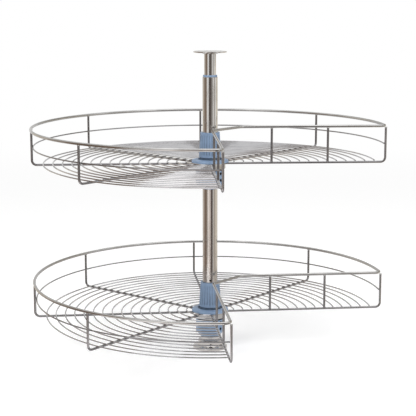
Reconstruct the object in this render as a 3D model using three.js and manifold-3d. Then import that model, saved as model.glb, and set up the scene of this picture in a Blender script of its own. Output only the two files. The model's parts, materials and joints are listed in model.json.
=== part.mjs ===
// Revolving corner fitting for a kitchen cabinet: a telescopic pole that is screwed between the
// cabinet's floor and top, and two three-quarter round wire baskets that turn on it.
// Millimetres, +Z up. The origin is the centre of the pole's foot, on the cabinet's floor.
// The upper basket's missing quarter lies between +X and -Y.
import * as THREE from "three";
import { mergeVertices } from "three/addons/utils/BufferGeometryUtils.js";
import Module from "manifold-3d";

const wasm = await Module();
wasm.setup();

// ---------------------------------------------------------------- driving sizes
const basketRadius = 375; // pole axis to the middle of the rim wire
const lowerCollarLift = 1; // pole's foot to the collar under the lower basket
const basketSpacing = 324; // lower basket to upper basket, between their edge wires
const poleHeight = 640; // foot to the face of the top plate
const lowerBasketTurn = 2.5; // degrees that the lower basket is turned on from the upper one

const seatGap = 0.3; // between pieces that touch
const weldSink = 0.4; // how far a floor wire is sunk into the edge wire it is welded to

// wires
const rimWire = 6; // diameters
const armWire = 5;
const postWire = 5;
const floorWire = 3;
const middleWire = 3;
const rimHeight = 77; // edge wire to rim wire, middle to middle
const middleWireHeight = 40;
const rimCornerRadius = 14; // where the round of the rim turns into a straight edge
const rimCutCorner = 66; // how far along each edge the rim cuts across the pole's corner
const rimCutBend = 18;
const armBend = 10;
const armCount = 7; // from one straight edge to the other
const basketSweep = 270; // degrees
const floorWireCount = 16;
const floorWireInset = 24; // rim wire to the floor wire next to it, seen from above
const innerFloorRadius = 51;
const edgePostWires = [4, 10]; // floor wires, from the pole outwards, whose ends carry a post

// hub
const hubRingRadius = 32.5;
const hubRingWall = 5.5;
const hubRingDrop = 10.5; // below the middle of the edge wires
const hubFlangeRadius = 39.2;
const hubFlangeEdge = 4;
const hubFlangeBevel = 2;
const hubFlangeRise = 8; // flange's underside to the foot of the sleeve
const hubGrooveWidth = 2.6; // groove round the sleeve's foot
const hubGrooveDepth = 4;
const hubShoulderWidth = 3.4; // level ring outside the groove
const sleeveFootRadius = 23.3;
const sleeveTopRadius = 20.4;
const sleeveTopHeight = 66.5; // above the middle of the edge wires
const fluteCount = 24;
const fluteDepth = 1;
const fluteMargin = 3; // plain band at each end of the sleeve

// height collar and its thrust washer
const collarRadius = 30.5;
const collarLength = 30;
const collarConeLength = 10.5;
const collarConeRadius = 21;
const collarEdge = 1.5;
const washerThickness = 1.4;
const washerRadius = 28;
const collarScrewRadius = 3;
const collarScrewDepths = [7, 21]; // below the collar's top
const collarScrewAzimuth = -45; // degrees
const collarScrewRecess = 1;
const keySocketRadius = 1.6;
const keySocketDepth = 3;

// pole
const outerTubeRadius = 16;
const outerTubeWall = 1.5;
const innerTubeShown = 51; // between the outer tube and the top plate
const innerTubeRadius = 12.5;
const innerTubeWall = 1.5;
const innerTubeInsertion = 190; // length inside the outer tube
const runningClearance = 0.4; // between the pole and what turns or slides on it
const settingHoleRadius = 2.5;
const settingHoleHeight = 152;
const guideRingRadius = 15;
const guideRingHeight = 4;
const guideSpigotLength = 26;
const plugHeadLength = 14;
const plugSpigotLength = 18;

// foot and top plate
const footRadius = 37;
const footEdge = 4;
const footSlopeTop = 8;
const footDomeRadius = 26;
const footDomeTop = 19;
const footNeckRadius = 18.5;
const footHeight = 26;
const footFloor = 4; // thickness under the tube
const footFillet = 3;
const topPlateRadius = 35;
const topPlateThickness = 2.5;
const topBossHeight = 3;
const topBossRootRadius = 20.6;
const topBossTipRadius = 15;
const screwHoleRadius = 2.4;
const screwHeadRadius = 4.2;
const screwCount = 3;
const footScrewCircle = 31.5;
const topScrewCircle = 27;
const firstScrewAzimuth = -90;

// ---------------------------------------------------------------- sizes that follow
const armRadius = armWire / 2;
const postRadius = postWire / 2;
const rimRadius = rimWire / 2;
const floorLevel = armRadius + floorWire / 2 - weldSink; // middle of the floor wires
const innerArmLevel = floorLevel - floorWire / 2 - seatGap - armRadius;
const postTop = rimHeight - rimRadius - seatGap;
const outerFloorRadius = basketRadius - floorWireInset;
const floorRadius = (i) =>
  innerFloorRadius + ((outerFloorRadius - innerFloorRadius) * i) / (floorWireCount - 1);
const hubRingTop = armRadius + 0.2;
const hubBore = outerTubeRadius + runningClearance;
const hubFlangeFoot = hubRingTop + seatGap;
const armStart = hubRingRadius + seatGap;
const middleWireRadius = basketRadius - postRadius - middleWire / 2 - seatGap;
const washerTop = -hubRingDrop - seatGap;
const collarTop = washerTop - washerThickness - seatGap;
const lowerBasketHeight = footHeight + lowerCollarLift + collarConeLength + collarLength - collarTop;
const socketRadius = outerTubeRadius + seatGap;
const outerTubeTop = poleHeight - topPlateThickness - innerTubeShown;
const innerTubeFoot = outerTubeTop - innerTubeInsertion;
const innerTubeTop = poleHeight - topPlateThickness - seatGap;
const innerTubeBore = innerTubeRadius - innerTubeWall;
const outerTubeBore = outerTubeRadius - outerTubeWall;

// facets
const poleFacets = 32;
const hubRingFacets = 28;
const washerFacets = 24;
const screwFacets = 10;
const wireFacets = 6;
const fineWireFacets = 5;
const rimSag = 1.5; // how far a facet of the rim may cut inside its arc
const wireSag = 3; // the same for the finer wires

const radians = THREE.MathUtils.degToRad;

// ---------------------------------------------------------------- finishes
const chrome = () => new THREE.MeshStandardMaterial({ color: 0xd9d6d1, roughness: 0.12, metalness: 1 });
const bluePlastic = () => new THREE.MeshStandardMaterial({ color: 0x7089ad, roughness: 0.42, metalness: 0 });
const blackSteel = () => new THREE.MeshStandardMaterial({ color: 0x1b1b1d, roughness: 0.45, metalness: 0.8 });
const palePlastic = () => new THREE.MeshStandardMaterial({ color: 0xe4e2dc, roughness: 0.5, metalness: 0 });

// ---------------------------------------------------------------- shaping helpers
const at = (x, y, z) => new THREE.Vector3(x, y, z);

// Points of a round stretch about a centre, in a level plane.
function roundStretch(centre, radius, from, to, steps) {
  return Array.from({ length: steps + 1 }, (_, i) => {
    const angle = from + ((to - from) * i) / steps;
    return at(centre.x + radius * Math.cos(angle), centre.y + radius * Math.sin(angle), centre.z);
  });
}

// Points of the bend that rounds the corner between two straight legs.
function bend(before, corner, after, radius, steps) {
  const legIn = before.clone().sub(corner).normalize();
  const legOut = after.clone().sub(corner).normalize();
  const half = legIn.angleTo(legOut) / 2;
  const centre = legIn.clone().add(legOut).normalize().multiplyScalar(radius / Math.sin(half)).add(corner);
  const start = legIn.clone().multiplyScalar(radius / Math.tan(half)).add(corner).sub(centre);
  const turn = Math.PI - 2 * half;
  const axis = start.clone().cross(legIn.clone().negate()).normalize();
  return Array.from({ length: steps + 1 }, (_, i) =>
    start.clone().applyAxisAngle(axis, (turn * i) / steps).add(centre),
  );
}

const arcSteps = (radius, sweep, sag) => Math.ceil(sweep / (2 * Math.acos(1 - sag / radius)));

// A wire's middle line, which is stepped from one of its points to the next.
class WireLine extends THREE.Curve {
  constructor(points, closed = false, sectionTurn = 0) {
    super();
    this.points = closed ? [...points, points[0]] : points;
    this.closed = closed;
    this.sectionTurn = sectionTurn;
    this.steps = this.points.length - 1;
  }
  getPoint(t, target = new THREE.Vector3()) {
    const place = THREE.MathUtils.clamp(t, 0, 1) * this.steps;
    const i = Math.min(Math.floor(place), this.steps - 1);
    return target.lerpVectors(this.points[i], this.points[i + 1], place - i);
  }
  getPointAt(u, target) {
    return this.getPoint(u, target);
  }
  getTangentAt(u, target = new THREE.Vector3()) {
    const near = 0.5 / this.steps;
    const wrap = (t) => (this.closed ? (t + 1) % 1 : THREE.MathUtils.clamp(t, 0, 1));
    return target.subVectors(this.getPoint(wrap(u + near)), this.getPoint(wrap(u - near))).normalize();
  }
  computeFrenetFrames(steps, closed) {
    const frames = super.computeFrenetFrames(steps, closed);
    frames.tangents.forEach((tangent, i) => {
      frames.normals[i].applyAxisAngle(tangent, this.sectionTurn);
      frames.binormals[i].applyAxisAngle(tangent, this.sectionTurn);
    });
    return frames;
  }
}

// A faceted wire's corners stand out, because its flats lie at the wire's radius.
const cornerRadius = (radius, sides) => radius / Math.cos(Math.PI / sides);

// An open wire with flat ends and one of its flats facing down.
function wire(points, radius, sides) {
  const line = new WireLine(points);
  const corner = cornerRadius(radius, sides);
  const section = new THREE.Shape(
    Array.from({ length: sides }, (_, i) => {
      const angle = (2 * Math.PI * (i + 0.5)) / sides;
      return new THREE.Vector2(corner * Math.cos(angle), corner * Math.sin(angle));
    }),
  );
  return new THREE.ExtrudeGeometry(section, { steps: line.steps, extrudePath: line });
}

// A level wire whose two ends meet, with one of its flats facing down too.
function wireLoop(points, radius, sides) {
  const line = new WireLine(points, true, Math.PI / sides);
  return new THREE.TubeGeometry(line, line.steps, cornerRadius(radius, sides), sides, true);
}

// A turned shape about +Z from [radius, height] points, closed on the axis or on itself.
function turned(profile, facets = poleFacets) {
  const points = profile.map(([r, z]) => new THREE.Vector2(r, z));
  const closesOnAxis = profile[0][0] === 0 && profile.at(-1)[0] === 0;
  if (!closesOnAxis) points.push(points[0].clone());
  return new THREE.LatheGeometry(points, facets).rotateX(Math.PI / 2);
}

function pin(radius, length, facets = screwFacets) {
  return new THREE.CylinderGeometry(radius, radius, length, facets).rotateX(Math.PI / 2);
}

// ---------------------------------------------------------------- cuts and joins
function bare(geometry) {
  const copy = geometry.clone();
  copy.deleteAttribute("normal");
  copy.deleteAttribute("uv");
  return mergeVertices(copy, 1e-4);
}

function solid(geometry) {
  const merged = bare(geometry);
  return new wasm.Manifold(
    new wasm.Mesh({
      numProp: 3,
      vertProperties: new Float32Array(merged.attributes.position.array),
      triVerts: new Uint32Array(merged.index.array),
    }),
  );
}

function geometryOf(manifold) {
  const mesh = manifold.getMesh();
  const geometry = new THREE.BufferGeometry();
  geometry.setAttribute("position", new THREE.BufferAttribute(new Float32Array(mesh.vertProperties), 3));
  geometry.setIndex(new THREE.BufferAttribute(new Uint32Array(mesh.triVerts), 1));
  const faceted = geometry.toNonIndexed();
  faceted.computeVertexNormals();
  return faceted;
}

const cut = (body, tools) => geometryOf(tools.reduce((left, tool) => left.subtract(solid(tool)), solid(body)));
const join = (pieces) => geometryOf(pieces.map(solid).reduce((whole, piece) => whole.add(piece)));

// Countersunk screw holes on a circle, through a plate whose heads sit at headLevel.
function screwHoles(circle, from, to, headSide) {
  const depth = screwHeadRadius - screwHoleRadius;
  const headLevel = headSide > 0 ? to : from;
  return Array.from({ length: screwCount }, (_, i) => {
    const azimuth = radians(firstScrewAzimuth + (360 * i) / screwCount);
    const hole = turned(
      [
        [0, from - 1],
        [screwHoleRadius, from - 1],
        [screwHoleRadius, to + 1],
        [0, to + 1],
      ],
      screwFacets,
    );
    const sink = turned(
      headSide > 0
        ? [
            [0, headLevel - depth],
            [screwHoleRadius, headLevel - depth],
            [screwHeadRadius, headLevel],
            [screwHeadRadius, headLevel + footHeight],
            [0, headLevel + footHeight],
          ]
        : [
            [0, headLevel - topBossHeight],
            [screwHeadRadius, headLevel - topBossHeight],
            [screwHeadRadius, headLevel],
            [screwHoleRadius, headLevel + depth],
            [0, headLevel + depth],
          ],
      screwFacets,
    );
    return [hole, sink].map((g) => g.translate(circle * Math.cos(azimuth), circle * Math.sin(azimuth), 0));
  }).flat();
}

// ---------------------------------------------------------------- the pole
function footShape() {
  const body = turned([
    [0, 0],
    [footRadius, 0],
    [footRadius, footEdge],
    [footRadius - 1, footEdge + 1],
    [footDomeRadius + 1.5, footSlopeTop],
    [footDomeRadius, footSlopeTop + 1.5],
    [footDomeRadius, footDomeTop - footFillet],
    [footDomeRadius - footFillet * 0.3, footDomeTop - footFillet * 0.3],
    [footDomeRadius - footFillet, footDomeTop],
    [footNeckRadius + 1, footDomeTop + 0.6],
    [footNeckRadius, footDomeTop + 1.6],
    [footNeckRadius, footHeight],
    [socketRadius, footHeight],
    [socketRadius, footFloor],
    [0, footFloor],
  ]);
  return cut(body, screwHoles(footScrewCircle, 0, footEdge + 0.5, 1));
}

function outerTubeShape() {
  const foot = footFloor + seatGap;
  const tube = turned([
    [outerTubeBore, foot],
    [outerTubeRadius, foot],
    [outerTubeRadius, outerTubeTop],
    [outerTubeBore, outerTubeTop],
  ]);
  const hole = pin(settingHoleRadius, outerTubeRadius)
    .rotateX(Math.PI / 2)
    .translate(0, -outerTubeRadius, settingHoleHeight);
  return cut(tube, [hole]);
}

function guideRingShape() {
  const bore = innerTubeRadius + seatGap;
  const foot = outerTubeTop + seatGap;
  return turned([
    [bore, outerTubeTop - guideSpigotLength],
    [outerTubeBore - seatGap, outerTubeTop - guideSpigotLength],
    [outerTubeBore - seatGap, foot],
    [guideRingRadius, foot],
    [guideRingRadius, foot + guideRingHeight - 1],
    [guideRingRadius - 1, foot + guideRingHeight],
    [bore, foot + guideRingHeight],
  ]);
}

function innerTubeShape() {
  return turned([
    [innerTubeBore, innerTubeFoot],
    [innerTubeRadius, innerTubeFoot],
    [innerTubeRadius, innerTubeTop],
    [innerTubeBore, innerTubeTop],
  ]);
}

function innerTubePlugShape() {
  const head = innerTubeFoot - seatGap;
  const headRadius = outerTubeBore - seatGap;
  const spigotRadius = innerTubeBore - seatGap;
  return turned([
    [0, head - plugHeadLength],
    [headRadius - 1, head - plugHeadLength],
    [headRadius, head - plugHeadLength + 1],
    [headRadius, head],
    [spigotRadius, head],
    [spigotRadius, head + plugSpigotLength - 1],
    [spigotRadius - 1, head + plugSpigotLength],
    [0, head + plugSpigotLength],
  ]);
}

function topPlateShape() {
  const under = poleHeight - topPlateThickness;
  const body = turned([
    [0, under],
    [innerTubeRadius + seatGap, under],
    [innerTubeRadius + seatGap, under - topBossHeight],
    [topBossTipRadius, under - topBossHeight],
    [topBossRootRadius, under],
    [topPlateRadius - 0.8, under],
    [topPlateRadius, under + 0.8],
    [topPlateRadius, poleHeight],
    [0, poleHeight],
  ]);
  return cut(body, screwHoles(topScrewCircle, under, poleHeight, -1));
}

// ---------------------------------------------------------------- a basket
// Each shape is made about the pole's axis with the edge wires' middle at height 0. One straight
// edge runs along +X and the other along -Y.
const armAngle = (i) => radians((basketSweep * i) / (armCount - 1));

// A floor arm: out from the hub ring and bent up into the post that carries the rim.
function armShape(angle, level) {
  const out = at(Math.cos(angle), Math.sin(angle), 0);
  const start = out.clone().multiplyScalar(armStart).setZ(level);
  const corner = out.clone().multiplyScalar(basketRadius).setZ(level);
  const top = corner.clone().setZ(postTop);
  return wire([start, ...bend(start, corner, top, armBend, 4), top], armRadius, wireFacets);
}

// The floor grille: arc wires that are welded at both ends to the arms of the straight edges.
function floorGrilleShape() {
  const arcs = Array.from({ length: floorWireCount }, (_, i) => {
    const radius = floorRadius(i);
    const sweep = radians(basketSweep);
    const line = roundStretch(at(0, 0, floorLevel), radius, 0, sweep, arcSteps(radius, sweep, wireSag));
    return wire(line, floorWire / 2, fineWireFacets);
  });
  return join([armShape(armAngle(0), 0), armShape(armAngle(armCount - 1), 0), ...arcs]);
}

function rimLine() {
  const inset = rimCornerRadius;
  const centreX = Math.sqrt((basketRadius - inset) ** 2 - inset ** 2);
  const meet = Math.asin(inset / (basketRadius - inset));
  const quarter = Math.PI / 2;
  const level = rimHeight;
  const sweep = radians(basketSweep);
  const steps = arcSteps(basketRadius, sweep, rimSag);
  const alongX = at(rimCutCorner, 0, level);
  const alongY = at(0, -rimCutCorner, level);
  const endX = at(centreX, 0, level);
  const endY = at(0, -centreX, level);
  return [
    ...roundStretch(at(0, 0, level), basketRadius, meet, sweep - meet, steps),
    ...roundStretch(at(-inset, -centreX, level), inset, 3 * quarter - meet, 4 * quarter, 4).slice(1),
    ...bend(endY, alongY, alongX, rimCutBend, 2),
    ...bend(alongY, alongX, endX, rimCutBend, 2),
    ...roundStretch(at(centreX, inset, level), inset, -quarter, meet, 4).slice(0, -1),
  ];
}

const rimShape = () => wireLoop(rimLine(), rimRadius, wireFacets);

function middleWireShape() {
  const overhang = Math.asin(postRadius / middleWireRadius);
  const sweep = radians(basketSweep);
  const steps = arcSteps(middleWireRadius, sweep, wireSag);
  const centre = at(0, 0, middleWireHeight);
  const line = roundStretch(centre, middleWireRadius, -overhang, sweep + overhang, steps);
  return wire(line, middleWire / 2, fineWireFacets);
}

function edgePostShape(angle, distance) {
  const x = distance * Math.cos(angle);
  const y = distance * Math.sin(angle);
  const foot = floorLevel + cornerRadius(floorWire / 2, fineWireFacets) + seatGap;
  return wire([at(x, y, foot), at(x, y, postTop)], postRadius, wireFacets);
}

function hubRingShape() {
  const bore = hubRingRadius - hubRingWall;
  return turned(
    [
      [bore, -hubRingDrop],
      [hubRingRadius, -hubRingDrop],
      [hubRingRadius, hubRingTop],
      [bore, hubRingTop],
    ],
    hubRingFacets,
  );
}

// The moulded hub: a spigot in the ring, a flange on it and a tapering fluted sleeve round the pole.
function hubShape() {
  const spigotRadius = hubRingRadius - hubRingWall - seatGap;
  const sleeveFoot = hubFlangeFoot + hubFlangeRise;
  const grooveRadius = sleeveFootRadius + hubGrooveWidth;
  const fluteFoot = sleeveFoot + fluteMargin;
  const fluteTop = sleeveTopHeight - fluteMargin;
  const sleeveRadius = (z) =>
    THREE.MathUtils.mapLinear(z, sleeveFoot, sleeveTopHeight, sleeveFootRadius, sleeveTopRadius);
  const fluted = [fluteFoot, fluteTop];
  const geometry = turned(
    [
      [hubBore, -hubRingDrop],
      [spigotRadius, -hubRingDrop],
      [spigotRadius, hubFlangeFoot],
      [hubFlangeRadius, hubFlangeFoot],
      [hubFlangeRadius, hubFlangeFoot + hubFlangeEdge],
      [hubFlangeRadius - hubFlangeBevel, hubFlangeFoot + hubFlangeEdge + hubFlangeBevel],
      [grooveRadius + hubShoulderWidth, sleeveFoot],
      [grooveRadius, sleeveFoot],
      [grooveRadius, sleeveFoot - hubGrooveDepth],
      [sleeveFootRadius, sleeveFoot - hubGrooveDepth],
      [sleeveRadius(fluteFoot), fluteFoot - 1],
      [sleeveRadius(fluteFoot), fluteFoot],
      [sleeveRadius(fluteTop), fluteTop],
      [sleeveRadius(fluteTop), fluteTop + 1],
      [sleeveTopRadius, sleeveTopHeight],
      [hubBore, sleeveTopHeight],
    ],
    2 * fluteCount,
  );
  // Every second facet line of the sleeve is drawn in, which leaves a rib between each two flutes.
  const place = geometry.attributes.position;
  for (let i = 0; i < place.count; i++) {
    const radius = Math.hypot(place.getX(i), place.getY(i));
    const turn = (Math.atan2(place.getY(i), place.getX(i)) / (2 * Math.PI)) * fluteCount;
    const inFlute = Math.abs(turn - Math.round(turn)) > 0.25;
    const onSleeve = fluted.some((z) => Math.abs(place.getZ(i) - z) < 1e-3);
    if (!inFlute || !onSleeve) continue;
    const drawnIn = 1 - fluteDepth / radius;
    place.setXY(i, place.getX(i) * drawnIn, place.getY(i) * drawnIn);
  }
  return geometry;
}

// ---------------------------------------------------------------- a height collar
const collarScrewOffset = (depth) => {
  const azimuth = radians(collarScrewAzimuth);
  return { x: Math.cos(azimuth), y: Math.sin(azimuth), z: collarTop - depth, azimuth };
};

function collarShape() {
  const foot = collarTop - collarLength;
  const bore = outerTubeRadius + seatGap;
  const body = turned(
    [
      [bore, foot - collarConeLength],
      [collarConeRadius, foot - collarConeLength],
      [collarRadius - collarEdge, foot],
      [collarRadius, foot + collarEdge],
      [collarRadius, collarTop - collarEdge],
      [collarRadius - collarEdge, collarTop],
      [bore, collarTop],
    ],
    hubRingFacets,
  );
  const holes = collarScrewDepths.map((depth) => {
    const { x, y, z, azimuth } = collarScrewOffset(depth);
    const middle = (outerTubeRadius + collarRadius) / 2 + 1;
    return pin(collarScrewRadius + seatGap, collarRadius - outerTubeRadius + 4)
      .rotateY(Math.PI / 2)
      .rotateZ(azimuth)
      .translate(x * middle, y * middle, z);
  });
  return cut(body, holes);
}

// A grub screw that clamps the collar on the pole, with its key socket facing out.
function collarScrewShape(depth) {
  const { azimuth } = collarScrewOffset(depth);
  const tip = outerTubeRadius + seatGap;
  const head = collarRadius - collarScrewRecess;
  return turned(
    [
      [0, tip],
      [collarScrewRadius - 1, tip],
      [collarScrewRadius, tip + 1],
      [collarScrewRadius, head],
      [keySocketRadius, head],
      [keySocketRadius, head - keySocketDepth],
      [0, head - keySocketDepth],
    ],
    screwFacets,
  )
    .rotateY(Math.PI / 2)
    .rotateZ(azimuth)
    .translate(0, 0, collarTop - depth);
}

function washerShape() {
  const bore = outerTubeRadius + runningClearance;
  return turned(
    [
      [bore, washerTop - washerThickness],
      [washerRadius, washerTop - washerThickness],
      [washerRadius, washerTop],
      [bore, washerTop],
    ],
    washerFacets,
  );
}

// ---------------------------------------------------------------- assembly
const carousel = new THREE.Group();

function add(group, name, geometry, material) {
  const mesh = new THREE.Mesh(geometry, material);
  mesh.name = name;
  group.add(mesh);
  return mesh;
}

add(carousel, "foot", footShape(), chrome());
add(carousel, "outer_tube", outerTubeShape(), chrome());
add(carousel, "guide_ring", guideRingShape(), bluePlastic());
add(carousel, "inner_tube", innerTubeShape(), chrome());
add(carousel, "inner_tube_plug", innerTubePlugShape(), palePlastic());
add(carousel, "top_plate", topPlateShape(), chrome());

function addCollar(level, height) {
  const group = new THREE.Group();
  group.position.z = height;
  add(group, `${level}_collar`, collarShape(), bluePlastic());
  collarScrewDepths.forEach((depth, i) => {
    add(group, `${level}_collar_screw_${i + 1}`, collarScrewShape(depth), blackSteel());
  });
  add(group, `${level}_thrust_washer`, washerShape(), palePlastic());
  carousel.add(group);
}

function addBasket(level, height, turn) {
  const group = new THREE.Group();
  group.position.z = height;
  group.rotation.z = radians(turn);
  add(group, `${level}_hub`, hubShape(), bluePlastic());
  add(group, `${level}_hub_ring`, hubRingShape(), chrome());
  add(group, `${level}_floor_grille`, floorGrilleShape(), chrome());
  for (let i = 1; i < armCount - 1; i++) {
    add(group, `${level}_arm_${i}`, armShape(armAngle(i), innerArmLevel), chrome());
  }
  [armAngle(0), armAngle(armCount - 1)].forEach((angle, edge) => {
    edgePostWires.forEach((wireNumber, i) => {
      const name = `${level}_edge_post_${edge * edgePostWires.length + i + 1}`;
      add(group, name, edgePostShape(angle, floorRadius(wireNumber)), chrome());
    });
  });
  add(group, `${level}_middle_wire`, middleWireShape(), chrome());
  add(group, `${level}_rim`, rimShape(), chrome());
  carousel.add(group);
}

addCollar("lower", lowerBasketHeight);
addCollar("upper", lowerBasketHeight + basketSpacing);
addBasket("lower", lowerBasketHeight, lowerBasketTurn);
addBasket("upper", lowerBasketHeight + basketSpacing, 0);

export default carousel;
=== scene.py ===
"""The finished surfaces of a revolving corner fitting: a telescopic pole and two wire baskets.

Metres, +Z up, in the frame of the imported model. Each piece rides on the body of the node that it
belongs to, so that the baskets turn, the collars slide and the pole extends.
"""

import json
import math
from functools import partial

import bmesh
import bpy
from bpy.props import FloatProperty, FloatVectorProperty, IntProperty, PointerProperty
from mathutils import Matrix, Vector


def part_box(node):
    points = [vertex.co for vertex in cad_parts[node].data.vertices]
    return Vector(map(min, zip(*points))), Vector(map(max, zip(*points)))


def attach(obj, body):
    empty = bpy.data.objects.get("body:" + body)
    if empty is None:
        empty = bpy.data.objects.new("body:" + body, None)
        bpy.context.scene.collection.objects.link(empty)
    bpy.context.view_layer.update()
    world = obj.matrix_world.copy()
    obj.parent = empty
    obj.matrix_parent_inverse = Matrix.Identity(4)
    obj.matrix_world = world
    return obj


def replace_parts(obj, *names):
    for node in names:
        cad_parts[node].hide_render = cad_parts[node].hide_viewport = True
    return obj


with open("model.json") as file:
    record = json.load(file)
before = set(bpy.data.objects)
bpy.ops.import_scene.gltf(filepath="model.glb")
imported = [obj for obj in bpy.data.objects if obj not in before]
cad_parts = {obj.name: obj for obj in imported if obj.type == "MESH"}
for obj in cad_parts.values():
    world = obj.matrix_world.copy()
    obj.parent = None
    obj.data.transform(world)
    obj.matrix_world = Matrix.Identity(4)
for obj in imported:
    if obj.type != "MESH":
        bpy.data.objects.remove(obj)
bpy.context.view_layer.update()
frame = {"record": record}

bl_info = {
    "name": "Corner Carousel Fitting",
    "version": (1, 0, 0),
    "blender": (4, 5, 0),
    "location": "3D View > Sidebar > Carousel",
    "description": "Builds the finished surfaces of a corner carousel with two wire baskets",
    "category": "Object",
}

MM = 0.001
LEVELS = ("lower", "upper")
UP = Vector((0, 0, 1))

# ---------------------------------------------------------------- what the frame says
BODY_OF = {
    node: body
    for body, nodes in frame["record"]["behaviour"]["bodies"].items()
    for node in nodes
}


def heights(node):
    """Lowest and greatest height of a node of the frame, in millimetres."""
    low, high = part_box(node)
    return low.z / MM, high.z / MM


# ---------------------------------------------------------------- fixed small sizes
SINK = 0.5 * MM  # how far a welded end reaches into what carries it
WIRE_SINK = 0.4 * MM  # how far the floor wires sink into the edge arms
WELD_GAP = 0.1 * MM  # between wires of one basket whose weld bead joins them
RING_STAND = 0.2 * MM  # how far a hub ring stands above the edge arms
AXIS = 0.4  # radius at which solid turned pieces close, in millimetres
FIT = 0.3  # clearance between pieces that are pushed together, in millimetres
RUN = 0.4  # clearance round the outer tube of what turns on it, in millimetres
SHARP = math.radians(32)  # edges with a greater angle stay crisp
TURNED_SIDES = 96
HOLE_SIDES = 32
SCREW_SIDES = 48
FLUTE_SIDES = 10  # facets round the hub for each flute
WIRE_SIDES = 12
FINE_WIRE_SIDES = 8
RIM_SIDES = 16
ROUND_STEPS = 216  # along the round of a rim or a middle wire
BEND_STEPS = 10
ROUNDING_STEPS = 4
ROUNDING_SHARE = 0.45  # the most that a rounding takes of the sides that it joins
MERGE = 0.001 * MM  # points that lie closer than this become one
BEAD_SIDES = 10
BEAD_RINGS = 6


# ---------------------------------------------------------------- settings
def length_setting(name, description, millimetres):
    return FloatProperty(name=name, description=description, default=millimetres * MM, unit="LENGTH")


def angle_setting(name, description, radians):
    return FloatProperty(name=name, description=description, default=radians, subtype="ANGLE")


def colour_setting(name, description, default):
    return FloatVectorProperty(
        name=name, description=description, default=default, size=3, subtype="COLOR"
    )


class BasketSizes(bpy.types.PropertyGroup):
    """Sizes of one wire basket and of its plastic hub."""

    radius: length_setting("Basket radius", "Pole axis to the middle of the rim wire", 375)
    rim_wire: length_setting("Rim wire", "Thickness of the rim wire", 6)
    arm_wire: length_setting("Arm wire", "Thickness of the floor arms and of the posts", 5)
    floor_wire: length_setting("Floor wire", "Thickness of the round floor wires", 3)
    middle_wire: length_setting("Middle wire", "Thickness of the wire half way up the wall", 3)
    rim_height: length_setting("Rim height", "Edge wires to the rim wire, middle to middle", 77)
    middle_height: length_setting("Middle wire height", "Edge wires to the middle wire", 40)
    rim_corner: length_setting("Rim corner", "Bend radius from the round rim into a straight edge", 14)
    cut_corner: length_setting(
        "Cut corner", "How far along each edge the rim cuts across the pole's corner", 66
    )
    cut_bend: length_setting("Cut corner bend", "Bend radius at the two ends of the cut corner", 18)
    arm_bend: length_setting("Arm bend", "Bend radius where a floor arm turns up into its post", 10)
    arms: IntProperty(
        name="Arms", description="Floor arms, from one straight edge to the other", default=7
    )
    sweep: angle_setting("Sweep", "Angle that the basket goes round", math.radians(270))
    lower_turn: angle_setting(
        "Lower basket turn", "How far the lower basket is turned on from the upper one", math.radians(2.5)
    )
    floor_wires: IntProperty(name="Floor wires", description="Round floor wires", default=16)
    inner_wire_radius: length_setting(
        "Innermost floor wire", "Radius of the floor wire next to the hub", 51
    )
    outer_wire_radius: length_setting(
        "Outermost floor wire", "Radius of the floor wire next to the rim", 351
    )
    ring_radius: length_setting("Hub ring", "Outer radius of the steel hub ring", 32.5)
    ring_wall: length_setting("Hub ring wall", "Wall of the hub ring", 5.5)
    flange_radius: length_setting("Hub flange", "Radius of the hub's flange", 39.2)
    flutes: IntProperty(name="Flutes", description="Flutes round the hub's sleeve", default=24)
    flute_depth: length_setting("Flute depth", "Depth of a flute", 1)


class PoleSizes(bpy.types.PropertyGroup):
    """Sizes of the pole, of its foot and top plate, and of the collars."""

    outer_radius: length_setting("Outer tube", "Radius of the outer tube", 16)
    inner_radius: length_setting("Inner tube", "Radius of the inner tube", 12.5)
    wall: length_setting("Tube wall", "Wall of both tubes", 1.5)
    setting_hole: length_setting("Setting hole", "Radius of the hole in the outer tube's front", 2.5)
    setting_height: length_setting(
        "Setting hole height", "Height of that hole above the cabinet's floor", 152
    )
    collar_radius: length_setting("Collar", "Radius of a height collar", 30.5)
    foot_radius: length_setting("Foot", "Radius of the foot", 37)
    plate_radius: length_setting("Top plate", "Radius of the top plate", 35)


class Finishes(bpy.types.PropertyGroup):
    """Colours and gloss of the metal and of the moulded plastic."""

    chrome: colour_setting("Chrome", "Colour of bright plating", (0.60, 0.585, 0.565))
    dull_chrome: colour_setting("Hazy chrome", "Colour of plating where it is hazy", (0.50, 0.48, 0.455))
    # Rim, floor, arm and post are one chrome at different tones: each part's colour is darkened by its own
    # share, which paints the darker reflections and shade that part shows.
    rim: colour_setting("Rim chrome", "Plating on the rims and hub rings", (0.46, 0.455, 0.445))
    floor: colour_setting("Floor wire chrome", "Plating on the floor wires", (0.53, 0.53, 0.54))
    arm: colour_setting(
        "Edge arm chrome",
        "Plating on the straight edges' bent wires and on the middle wires",
        (0.33, 0.325, 0.33),
    )
    post: colour_setting("Post chrome", "Plating on the inner arms and the posts", (0.25, 0.245, 0.25))
    chrome_roughness: FloatProperty(
        name="Chrome roughness", description="Roughness of clean plating", default=0.07, subtype="FACTOR"
    )
    plastic: colour_setting("Plastic", "Colour of the moulded hubs and collars", (0.192, 0.278, 0.412))
    rubbed_plastic: colour_setting(
        "Rubbed plastic", "Colour of the plastic along worn edges", (0.30, 0.38, 0.50)
    )
    plastic_roughness: FloatProperty(
        name="Plastic roughness", description="Roughness of the plastic", default=0.38, subtype="FACTOR"
    )
    screw: colour_setting("Screw", "Colour of blackened steel", (0.028, 0.028, 0.030))
    pale: colour_setting("Pale plastic", "Colour of the washers and of the plug", (0.74, 0.72, 0.67))


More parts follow.
